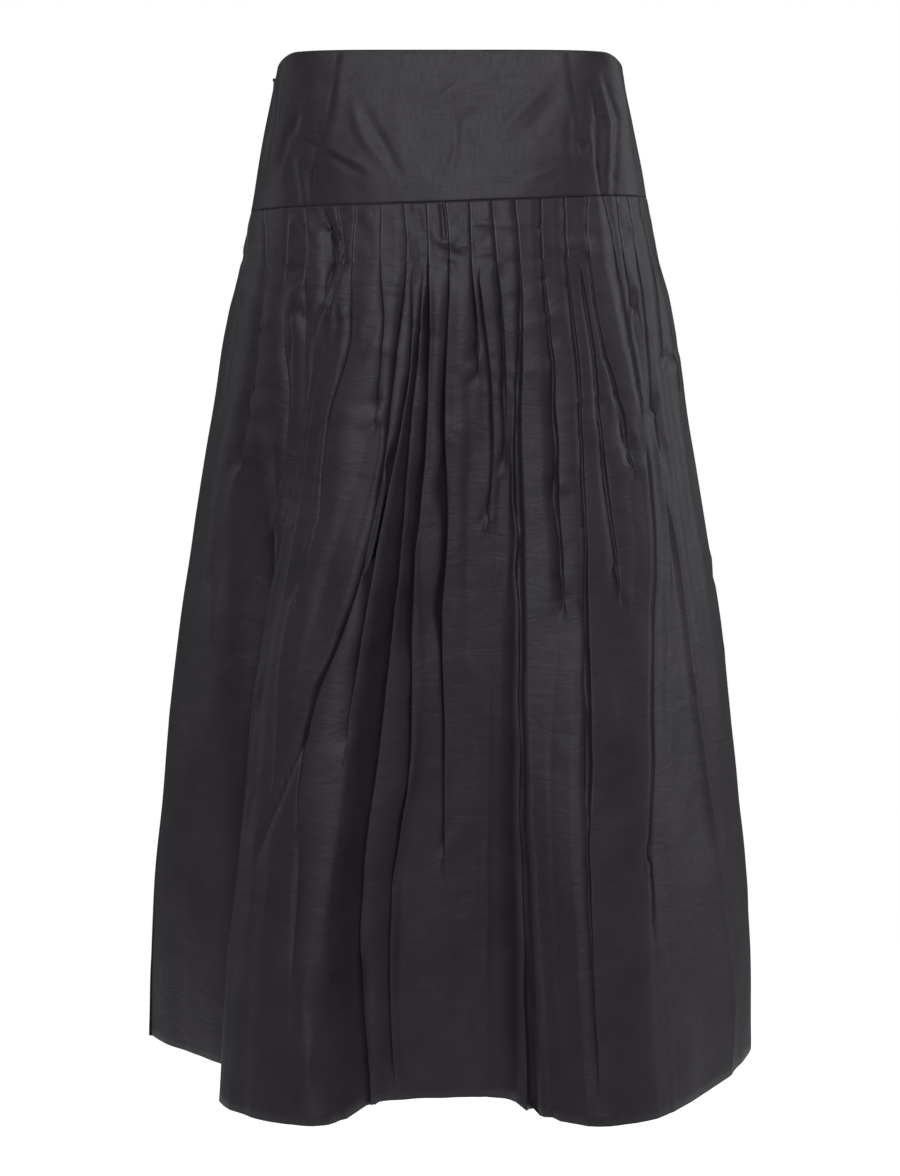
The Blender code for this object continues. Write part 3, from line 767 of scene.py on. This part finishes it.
def hem_curves(folds):
    """The hem's distance from the axis against the bearing, one curve between each two folds with a step."""
    curves = []
    bearings = [-90.0]
    reaches = [SIDE_HEM]
    for places, before, after, _, _ in folds:
        if before:
            curves.append((bearings + [places[-1]], reaches + [before]))
            bearings = []
            reaches = []
        bearings.append(places[-1])
        reaches.append(after)
    curves.append((bearings + [90.0], reaches + [SIDE_HEM]))
    return curves


def pleated_columns(middle, stations, open_at, folds, crumpled):
    """The columns of a pleated panel, each as bearing, out and lower down the rows; and which are sewn."""
    rows = PANEL_ROWS
    heights = mix(YOKE_SEAM_Z, -WAIST_TO_HEM, rows)
    side_reach = plain_radius(RIGHT_ANGLE, heights)
    growth = np.clip((rows - FOLDS_START) / (1 - FOLDS_START), 0, None) ** FOLDS_GROW
    released = ease((rows - STITCHED_TO) / RELEASED_OVER)
    settled = 1 - ease((rows - SETTLES_FROM) / SETTLES_OVER)
    hanging = ease((rows - HANGS_FROM) / HANGS_OVER)
    side = RIGHT_ANGLE - (SEAM_GAP / 2 + SIDE_TURN[-1][0] / 1000) / side_reach
    edges = [-side, *(np.radians(through(stations, fold[0], rows)) for fold in folds), side]
    free = released * (1 - hanging)
    for place in range(1, len(folds) + 1):
        edges[place] = edges[place] + free * swells(heights, 0 * heights, FOLD_WANDER, place)
    curves = hem_curves(folds)
    columns = []
    sewn = []

    def swing(hem_bearing):
        """How far the hem's swell carries a column out, row by row."""
        reach = through(*curves[0], np.degrees(hem_bearing)) / 1000
        return growth * (reach - plain_radius(hem_bearing + middle, -WAIST_TO_HEM))

    def add(bearing, out, sunk=0.0):
        columns.append((middle + bearing, out, HEM_DROPS * sunk * hanging))

    def side_edge(side):
        turn = SIDE_TURN if side < 0 else SIDE_TURN[::-1]
        for along, out in turn:
            back = (SEAM_GAP / 2 + along / 1000) / side_reach
            add(side * (RIGHT_ANGLE - back), out / 1000 + 0 * rows)

    def face(start, end, hem_start, hem_end, step):
        """The cloth between two folds, a little puffed out where the pleats are let go."""
        wide = np.clip((end - start) * side_reach / PUFF_WIDTH, 0, 1)
        rise = through(*curves[0], np.degrees(hem_end)) - through(*curves[0], np.degrees(hem_start))
        length = math.hypot((hem_end - hem_start) * HEM_RADIUS, rise / 1000)
        count = int(np.clip(round(length / FACE_PITCH), *FACE_COLUMNS))
        if any(low < math.degrees(start[0]) < high for low, high in crumpled):
            count += CRUMPLED_MORE
        for share in np.linspace(0, 1, count + 1)[1:-1]:
            puff = PUFF * released * settled * wide * 4 * share * (1 - share)
            out = swing(mix(hem_start, hem_end, share)) + step * (1 - share) + puff
            add(mix(start, end, share), out)

    side_edge(-1)
    start = -side
    hem_start = -RIGHT_ANGLE
    step = 0 * rows
    for place, (places, before, after, opening, stitched) in enumerate(folds):
        edge = edges[place + 1]
        hem_edge = math.radians(places[-1])
        opening = through(open_at, opening, rows) / 1000
        uneven = swells(heights, 0 * heights, OPENING_VARIES, place + OPENING_SEED)
        opening *= np.clip(1 + free * uneven, *OPENING_LIMITS)
        opening = mix(SHUT, opening, ease((rows - STITCHED_TO + OPENS_BEFORE) / OPENS_OVER))
        if not stitched:
            opening = opening * released
        alive = np.clip(opening / FADED, 0, 1)
        radius = plain_radius(edge + middle, heights) + swing(hem_edge)
        # Where the fold has run out, its columns lie evenly on the cloth, up to FLAT to each side
        left_width = np.minimum(FLAT, FLAT_SHARE * (edge - edges[place]) * radius)
        right_width = np.minimum(FLAT, FLAT_SHARE * (edges[place + 2] - edge) * radius)
        flat = [share * (left_width if share < 0 else right_width) for share in np.linspace(-1, 1, 8)]
        hem_bearings = [hem_edge + plain[-1] / HEM_RADIUS for plain in flat]
        turned = np.sin(edge)
        pressed = mix(PRESSED_FLAT, 1, released)
        wider = 1 - np.where(turned < 0, LEFT_WIDER, RIGHT_NARROWER) * turned
        wide = SHUT_WIDE * pressed + OPEN_WIDE * opening * wider
        first = edge + mix(flat[0], -wide, alive) / radius
        face(start, first, hem_start, hem_bearings[0], step)
        left = swing(hem_edge)
        smooth = [swing(bearing) for bearing in hem_bearings[:4]]
        if before:
            curves.pop(0)
        step = alive * PLEAT_STEP * mix(STEP_STITCHED, STEP_RELEASED, released)
        right = swing(hem_edge) + step
        smooth += [swing(bearing) for bearing in hem_bearings[4:]]
        deeper = OPEN_DEEP[0] - np.where(turned < 0, LEFT_DEEPER, RIGHT_SHALLOWER) * turned
        depth = alive * SHUT_DEEP * pressed + np.minimum(opening * deeper, OPEN_DEEP[1])
        tuck = SHUT_TUCK * pressed + np.minimum(OPEN_TUCK[0] * opening, OPEN_TUCK[1])
        roll = SHUT_ROLL * pressed + np.minimum(OPEN_ROLL[0] * opening, OPEN_ROLL[1])
        if before:
            roll = roll + growth * np.clip(STEP_ROLL[0] * (after - before), 0, STEP_ROLL[1])
        sewn_down = stitched * EDGE_SEWN_DOWN * (1 - released)
        # Along the cloth from the folded edge, and out: down the left side to the valley, which is tucked
        # under the edge, then round the edge, which is rolled, and on to the right
        profile = (
            (-wide, left),
            (-0.7 * wide, left - 0.18 * depth),
            (-0.35 * wide, left - 0.55 * depth),
            (tuck, left - depth),
            (0 * rows, right - roll),
            (0.25 * roll, right - 0.28 * roll),
            (roll, right),
            (roll + EDGE_WIDE, right - sewn_down),
        )
        for (along, out), plain, smooth_out in zip(profile, flat, smooth):
            sunk = np.clip(np.minimum(left, right) - out, 0, None) * alive
            add(edge + mix(plain, along, alive) / radius, mix(smooth_out, out, alive), sunk)
        if stitched:
            sewn.append(len(columns) - 1)
        start = edge + mix(flat[-1], roll + EDGE_WIDE, alive) / radius
        hem_start = hem_bearings[-1]
    face(start, side, hem_start, RIGHT_ANGLE, step)
    side_edge(1)
    return columns, sewn


def run_outs(middle, stations, open_at, folds):
    """Rows for a crease table: a small hooked dent where each fold runs out."""
    rows = []
    for places, _, _, opening, _ in folds:
        open_shares = [share for share, width in zip(open_at, opening) if width >= LEAST_OPENING]
        if not open_shares or open_shares[-1] > LAST_HOOK:
            continue
        share = open_shares[-1] + HOOK_BELOW
        bearing = middle + math.radians(through(stations, places, share))
        z = mix(YOKE_SEAM_Z, -WAIST_TO_HEM, share)
        x = 1000 * plain_radius(bearing, z) * math.sin(bearing)
        z = 1000 * z
        left = -math.cos(middle)
        for x1, z1, x2, z2, x3, z3, width, height in HOOKS:
            ends = (x + x1 * left, z + z1, x + x2 * left, z + z2, x + x3 * left, z + z3)
            rows.append((*ends, width, height, 1))
    return tuple(rows)


def skirt_panel(name, middle, stations, open_at, folds, crumpled, creases, seed):
    """A pleated panel, and the lines that its pleats are sewn along."""
    columns, sewn = pleated_columns(middle, stations, open_at, folds, crumpled)
    bearing = np.stack([column[0] for column in columns], 1)
    out = np.stack([column[1] for column in columns], 1)
    lower = np.stack([column[2] for column in columns], 1)
    rows = PANEL_ROWS[:, None]
    z = mix(seam_height(bearing) - SEAM_GAP / 2, -WAIST_TO_HEM, rows)
    reach = plain_radius(bearing, z)
    along = SWELLS_ACROSS * (bearing - middle)
    lay = swells(along, z, SMALL_SWELLS, seed) * ease(rows / SMALL_SWELLS_OVER)
    lay += swells(along, z, LARGE_SWELLS, seed + 1) * rows
    pressed = 1 - ease((rows - PRESSED_TO) / PRESSED_OVER)
    lay += swells(along, PRESSED_FINER * z, PRESSED_SWELLS, seed + 2) * pressed
    scattered = small_creases(*UPPER_SMALL_CREASES, seed)
    scattered += small_creases(*LOWER_SMALL_CREASES, seed + LOWER_SEED)
    x = reach * np.sin(bearing) * 1000
    creases = creases + run_outs(middle, stations, open_at, folds)
    lay += PANEL_CREASES * crease_heights(x, z * 1000, creases)
    lay += PANEL_SCATTERED * crease_heights(x, z * 1000, scattered)
    from_side = RIGHT_ANGLE - np.abs(bearing - middle)
    lay *= ease((from_side - PANEL_PLAIN_SIDE) / PANEL_PLAIN_OVER) * ease(rows / PANEL_PLAIN_TOP)
    seam_roll = SEAM_ROLL * np.exp(-rows / PANEL_ROLL_OVER)
    reach = reach + out + lay - seam_roll
    x = reach * np.sin(bearing)
    y = -reach * np.cos(bearing)
    z = z - lower
    lines = [np.stack((x[:, column], y[:, column], z[:, column]), 1) for column in sewn]
    x, y, z = turn_edges(x, y, z, SEAM_TURN, HEM_TURN)
    return cloth_sheet(name, x, y, z), lines


front_panel, front_lines = skirt_panel(
    "skirt_front_cloth", 0.0, FRONT_AT, FRONT_OPEN_AT, FRONT_FOLDS, FRONT_CRUMPLED, FRONT_CREASES, 11
)
back_panel, back_lines = skirt_panel(
    "skirt_back_cloth", math.pi, BACK_AT, BACK_OPEN_AT, BACK_FOLDS, BACK_CRUMPLED, BACK_CREASES, 21
)
for panel, node in ((front_panel, "skirt_front"), (back_panel, "skirt_back")):
    panel.data.materials.append(taffeta)
    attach(panel, "skirt")
    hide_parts(node)

# ---------------------------------------------------------------------------------------------
# Edge stitching: rows of short stitches in grey polyester thread, close to the folded edge of each pleat.
# They go through all the pleat's layers, from the yoke seam down to where the pleat is let go.

STITCH_PITCH = 0.0024
STITCH_LENGTH = 0.0016
THREAD_WIDTH = 0.00055
THREAD_PROUD = 0.6  # how much of its half-width a stitch stands out of the cloth


def stitches(name, lines):
    """Rows of stitches along some lines that run down from the yoke seam."""
    shape = bmesh.new()
    for line in lines:
        lengths = np.concatenate(((0,), np.cumsum(np.linalg.norm(np.diff(line, axis=0), axis=1))))
        sewn_to = np.interp(STITCHED_TO, PANEL_ROWS, lengths)
        for middle in np.arange(STITCH_PITCH, sewn_to, STITCH_PITCH):
            ends = np.array((middle - STITCH_LENGTH / 2, middle + STITCH_LENGTH / 2))
            places = np.stack([np.interp(ends, lengths, line[:, axis]) for axis in range(3)], 1)
            upper, lower = (Vector(place) for place in places)
            down = (lower - upper).normalized()
            side = Vector((upper.x, upper.y, 0)).cross(down).normalized()
            out = down.cross(side)
            half = THREAD_WIDTH / 2
            turn = Matrix((side * half, out * half, down * STITCH_LENGTH / 2)).transposed().to_4x4()
            place = Matrix.Translation((upper + lower) / 2 + out * half * THREAD_PROUD) @ turn
            bmesh.ops.create_uvsphere(shape, u_segments=6, v_segments=4, radius=1, matrix=place)
    return object_from(name, shape)


# Spun polyester sewing thread, a shade lighter than the cloth, with the twist of its plies
thread, tree = new_material("grey_polyester_thread")
place = add_node(tree, "ShaderNodeTexCoord")
twist = add_node(
    tree,
    "ShaderNodeTexWave",
    {"Vector": (place, "Object")},
    bands_direction="DIAGONAL",
    Scale=700,
    Distortion=1,
)
tone = add_ramp(tree, (twist, "Fac"), "#85818a", "#a29ea7")
plies = add_node(tree, "ShaderNodeBump", {"Height": (twist, "Fac")}, Strength=0.3, Distance=0.0001)
add_surface(tree, {"Base Color": (tone, "Color"), "Normal": (plies, "Normal")}, Roughness=0.6)

for rows in (stitches("front_stitches", front_lines), stitches("back_stitches", back_lines)):
    rows.data.materials.append(thread)
    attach(rows, "skirt")

# ---------------------------------------------------------------------------------------------
# Zip in the side seam at -X: two black woven polyester tapes sewn inside the seam, with a closed nylon coil
# between them. The slider and its long pull tab, black lacquered zinc, stay at the top of the seam.

TAPE_TOP = -0.0105
TAPE_BOTTOM = -0.190
TAPE_WIDTH = 0.0117
TAPE_INSIDE = 0.0026
TAPE_THICK = 0.0005
TAPE_GAP = 0.0005
TAPE_WAVE = 0.0002
TAPE_WAVE_PACE = 90
TAPE_ROWS = 48
TAPE_COLUMNS = 8
COIL_PITCH = 0.0013
COIL_WIDTH = 0.0036
COIL_DEPTH = 0.0013
COIL_WIRE = 0.00032
COIL_CLEAR = 0.0002
COIL_TILT = math.radians(12)


def side_point(along, inside, z):
    """A point by the side seam at -X: along is how far it is towards the back."""
    reach = plain_radius(RIGHT_ANGLE, z) - inside
    bearing = -RIGHT_ANGLE - along / reach
    return reach * np.sin(bearing), -reach * np.cos(bearing), z


tapes = []
for name, side in (("zip_tape_front", -1), ("zip_tape_back", 1)):
    spread = TAPE_GAP / 2 + TAPE_WIDTH * np.linspace(0, 1, TAPE_COLUMNS)[None, :]
    if side > 0:
        spread = spread[:, ::-1]
    z = np.linspace(TAPE_TOP, TAPE_BOTTOM, TAPE_ROWS)[:, None] + 0 * spread
    wave = TAPE_WAVE * np.sin(z * TAPE_WAVE_PACE) * spread / TAPE_WIDTH
    x, y, z = side_point(side * spread, TAPE_INSIDE + wave, z)
    tape = cloth_sheet(name, x, y, z)
    tape.modifiers["thickness"].thickness = TAPE_THICK
    tapes.append(tape)

ring = bmesh.new()
upright = Matrix.Rotation(RIGHT_ANGLE, 4, "X")
start = Matrix.Translation((COIL_WIDTH / 2 - COIL_WIRE, 0, 0))
bmesh.ops.create_circle(ring, segments=5, radius=COIL_WIRE, matrix=start @ upright)
round_wire = ring.verts[:] + ring.edges[:]
bmesh.ops.spin(
    ring, geom=round_wire, cent=(0, 0, 0), axis=(0, 0, 1), angle=2 * math.pi, steps=8, use_merge=True
)
bmesh.ops.scale(ring, vec=(1, COIL_DEPTH / COIL_WIDTH, 1), verts=ring.verts)
bmesh.ops.recalc_face_normals(ring, faces=ring.faces)
one_turn = bpy.data.meshes.new("coil_turn")
ring.to_mesh(one_turn)
ring.free()
shape = bmesh.new()
for z in np.arange(TAPE_TOP - 2 * COIL_PITCH, TAPE_BOTTOM + 2 * COIL_PITCH, -COIL_PITCH):
    inside = TAPE_INSIDE + TAPE_THICK + COIL_CLEAR + COIL_DEPTH / 2
    centre = Vector(side_point(0.0, inside, z))
    down = (Vector(side_point(0.0, inside, z - COIL_PITCH)) - centre).normalized()
    across = Vector((0, 1, 0))
    turn = Matrix((across, down.cross(across), down)).transposed().to_4x4()
    shape.from_mesh(one_turn)
    newest = shape.verts[len(shape.verts) - len(one_turn.vertices):]
    place = Matrix.Translation(centre) @ turn @ Matrix.Rotation(COIL_TILT, 4, "Y")
    bmesh.ops.transform(shape, matrix=place, verts=newest)
coil = object_from("zip_coil", shape)

# Woven polyester tape, dyed black: a herringbone of 0.8 mm, matt
woven, tree = new_material("black_woven_tape")
cut = add_node(tree, "ShaderNodeUVMap", uv_map="cut")
rows = add_node(tree, "ShaderNodeTexWave", {"Vector": (cut, "UV")}, bands_direction="DIAGONAL", Scale=400)
columns = add_node(tree, "ShaderNodeTexWave", {"Vector": (cut, "UV")}, bands_direction="X", Scale=200)
weave = add_node(tree, "ShaderNodeMath", {0: (rows, "Fac"), 1: (columns, "Fac")}, operation="MULTIPLY")
tone = add_ramp(tree, (weave, "Value"), "#151416", "#242226")
relief = add_node(tree, "ShaderNodeBump", {"Height": (weave, "Value")}, Strength=0.4, Distance=0.0002)
add_surface(tree, {"Base Color": (tone, "Color"), "Normal": (relief, "Normal")}, Roughness=0.8)

# Nylon monofilament, drawn and wound into a coil: black with a dull gloss that varies a little
nylon, tree = new_material("black_nylon_coil")
place = add_node(tree, "ShaderNodeTexCoord")
drawn = add_node(tree, "ShaderNodeTexNoise", {"Vector": (place, "Object")}, Scale=900, Detail=2)
tone = add_ramp(tree, (drawn, "Fac"), "#141315", "#1f1e21")
rough = add_node(tree, "ShaderNodeMapRange", {"Value": (drawn, "Fac")}, To_Min=0.3, To_Max=0.45)
add_surface(tree, {"Base Color": (tone, "Color"), "Roughness": (rough, "Result")}, IOR=1.53)

# Die-cast zinc under black baked enamel: glossy, slightly uneven, and rubbed a little duller in fine specks
enamel, tree = new_material("black_enamelled_zinc")
place = add_node(tree, "ShaderNodeTexCoord")
flow = add_node(tree, "ShaderNodeTexNoise", {"Vector": (place, "Object")}, Scale=350, Detail=3)
rubbed = add_node(tree, "ShaderNodeTexNoise", {"Vector": (place, "Object")}, Scale=1800, Detail=2)
tone = add_ramp(tree, (rubbed, "Fac"), "#0d0d0e", "#2b2a2c", 0.45, 0.8)
rough = add_node(tree, "ShaderNodeMapRange", {"Value": (rubbed, "Fac")}, To_Min=0.14, To_Max=0.32)
skin = add_node(tree, "ShaderNodeBump", {"Height": (flow, "Fac")}, Strength=0.15, Distance=0.0003)
add_surface(
    tree,
    {"Base Color": (tone, "Color"), "Roughness": (rough, "Result"), "Normal": (skin, "Normal")},
    Metallic=0.0,
    IOR=1.55,
    Coat_Weight=0.6,
    Coat_Roughness=0.08,
)

coil.data.materials.append(nylon)
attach(coil, "skirt")
for tape, carried in zip(tapes, ([coil], [])):
    tape.data.materials.append(woven)
    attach(tape, "skirt")
    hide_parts("zip_tape")
for node in ("zip_slider", "zip_pull"):
    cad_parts[node].material_slots[0].material = enamel

# ---------------------------------------------------------------------------------------------
# Floor: pale and plain, well below the hem. It fades out at its rim.

FLOOR_Z = -1.25
FLOOR_RADIUS = 3.2
FADE_FROM = 0.6
FADE_TO = 2.4

shape = bmesh.new()
bmesh.ops.create_circle(shape, cap_ends=True, segments=96, radius=FLOOR_RADIUS)
bmesh.ops.translate(shape, verts=shape.verts, vec=(0, 0, FLOOR_Z))
floor = object_from("floor", shape)

# Matt pale paper, lit up a little so that it looks the same all over
pale, tree = new_material("pale_floor")
place = add_node(tree, "ShaderNodeTexCoord")
reach = add_node(tree, "ShaderNodeVectorMath", {0: (place, "Object")}, operation="LENGTH")
fade = add_node(
    tree, "ShaderNodeMapRange", {"Value": (reach, "Value")}, From_Min=FADE_FROM, From_Max=FADE_TO
)
matt = add_node(
    tree,
    "ShaderNodeBsdfPrincipled",
    Base_Color=srgb("#f6f6f6"),
    Roughness=0.9,
    Emission_Color=srgb("#ffffff"),
    Emission_Strength=0.85,
)
clear = add_node(tree, "ShaderNodeBsdfTransparent")
surface = add_node(tree, "ShaderNodeMixShader", {0: (fade, "Result"), 1: (matt, "BSDF"), 2: (clear, "BSDF")})
add_node(tree, "ShaderNodeOutputMaterial", {"Surface": (surface, "Shader")})
floor.data.materials.append(pale)

# ---------------------------------------------------------------------------------------------
# Light and camera: one soft light high in front, and weaker ones at both sides and behind.

LIGHTS = (
    # name, place and the point it faces, width and height, metres; watts
    ("front_softbox", (0.1, -1.9, 1.0), (0, 0, -0.38), 0.7, 0.6, 21.5),
    ("left_softbox", (-1.9, 0.4, 0.3), (-0.1, 0, -0.5), 0.7, 1.8, 5.5),
    ("right_softbox", (1.9, 0.4, 0.3), (0.1, 0, -0.5), 0.7, 1.8, 13),
    ("back_softbox", (0.0, 2.4, 1.5), (0, 0, -0.45), 2.0, 1.2, 26),
)
for name, place, facing, width, height, watts in LIGHTS:
    light = bpy.data.lights.new(name, "AREA")
    light.shape = "RECTANGLE"
    light.size = width
    light.size_y = height
    light.energy = watts
    lamp = bpy.data.objects.new(name, light)
    lamp.location = place
    lamp.rotation_euler = (Vector(facing) - Vector(place)).to_track_quat("-Z", "Y").to_euler()
    bpy.context.scene.collection.objects.link(lamp)

# The room: a faint glow that is stronger from above. Behind the skirt it is plain white.
GLOW_BELOW = 0.02
GLOW_ABOVE = 0.16

world = bpy.data.worlds.new("studio")
bpy.context.scene.world = world
world.use_nodes = True
tree = world.node_tree
tree.nodes.clear()
way = add_node(tree, "ShaderNodeTexCoord")
upward = add_node(tree, "ShaderNodeSeparateXYZ", {"Vector": (way, "Generated")})
glow = add_node(
    tree,
    "ShaderNodeMapRange",
    {"Value": (upward, "Z")},
    From_Min=-0.6,
    From_Max=0.9,
    To_Min=GLOW_BELOW,
    To_Max=GLOW_ABOVE,
)
ray = add_node(tree, "ShaderNodeLightPath")
strength = add_node(tree, "ShaderNodeMix", {"Factor": (ray, "Is Camera Ray"), "A": (glow, "Result")}, B=1.0)
backdrop = add_node(tree, "ShaderNodeBackground", {"Strength": (strength, "Result")}, Color=srgb("#ffffff"))
add_node(tree, "ShaderNodeOutputWorld", {"Surface": (backdrop, "Background")})

# The camera stands straight in front and looks a little down
CAMERA_LENS = 69.3
CAMERA_PLACE = (0.0, -2.1, -0.3335)
CAMERA_DOWN = math.radians(4)

camera_data = bpy.data.cameras.new("camera")
camera_data.lens = CAMERA_LENS
camera = bpy.data.objects.new("camera", camera_data)
camera.location = CAMERA_PLACE
camera.rotation_euler = (RIGHT_ANGLE - CAMERA_DOWN, 0, 0)
bpy.context.scene.collection.objects.link(camera)
bpy.context.scene.camera = camera
bpy.context.scene.view_settings.view_transform = "Standard"
